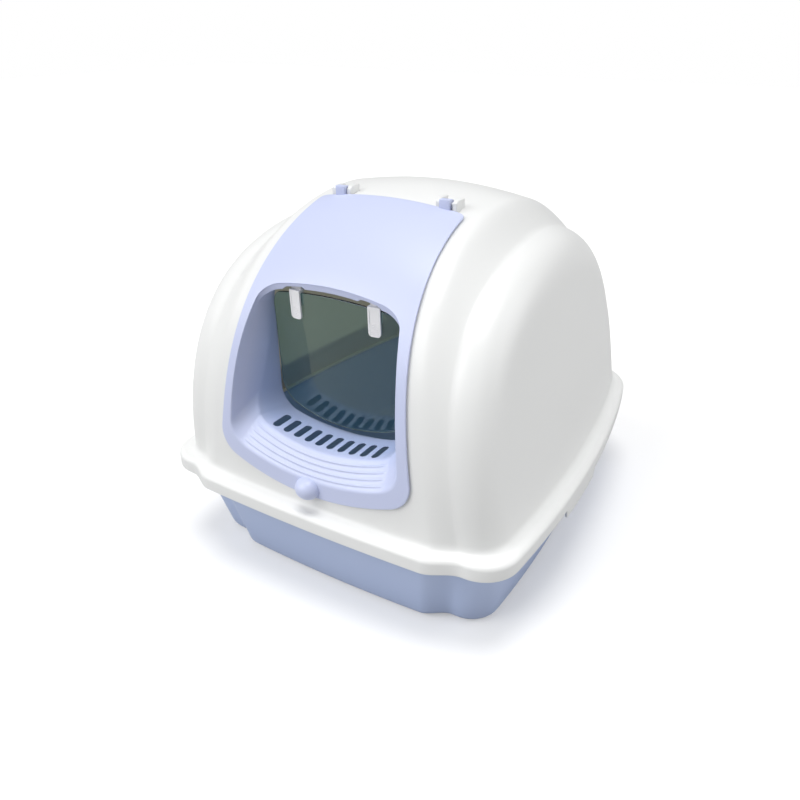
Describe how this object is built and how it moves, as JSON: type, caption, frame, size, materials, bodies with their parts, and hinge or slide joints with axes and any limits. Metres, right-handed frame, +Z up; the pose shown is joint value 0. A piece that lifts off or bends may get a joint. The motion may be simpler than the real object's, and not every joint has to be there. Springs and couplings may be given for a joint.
{
  "type": "covered litter box",
  "caption": "Covered litter box: a deep tray with a lift-off arched hood, a flip-up front cover with a recessed entry and a clear swinging flap.",
  "frame": {"origin": "on the floor under the middle of the box", "axes": "+Z up, -Y towards the front with the entry, +X to the right seen from the front"},
  "size_m": [0.4, 0.478, 0.3713],
  "materials": {
    "tray_blue": "satin moulded plastic",
    "hood_white": "satin moulded plastic",
    "cover_blue": "satin moulded plastic",
    "pin_white": "plain plastic",
    "flap_smoke": "clear smoked plastic",
    "clip_white": "plain plastic"
  },
  "bodies": {
    "tray": {"litter_tray": "tray_blue"},
    "hood": {"hood": "hood_white", "hinge_pin_left": "pin_white", "hinge_pin_right": "pin_white"},
    "cover": {"front_cover": "cover_blue", "cover_knob": "cover_blue"},
    "flap": {"swing_flap": "flap_smoke", "flap_clip_left": "clip_white", "flap_clip_right": "clip_white"}
  },
  "joints": [
    {"name": "hood_lift", "type": "slide", "parent": "tray", "child": "hood", "axis": [0, 0, 1], "range_m": [0, 0.25]},
    {"name": "cover_flip", "type": "hinge", "parent": "hood", "child": "cover", "pos_m": [0, -0.077, 0.36693], "axis": [-1, 0, 0], "range_deg": [0, 105]},
    {"name": "flap_swing", "type": "hinge", "parent": "cover", "child": "flap", "pos_m": [0, -0.17157, 0.3035], "axis": [1, 0, 0], "range_deg": [-30, 40]}
  ]
}
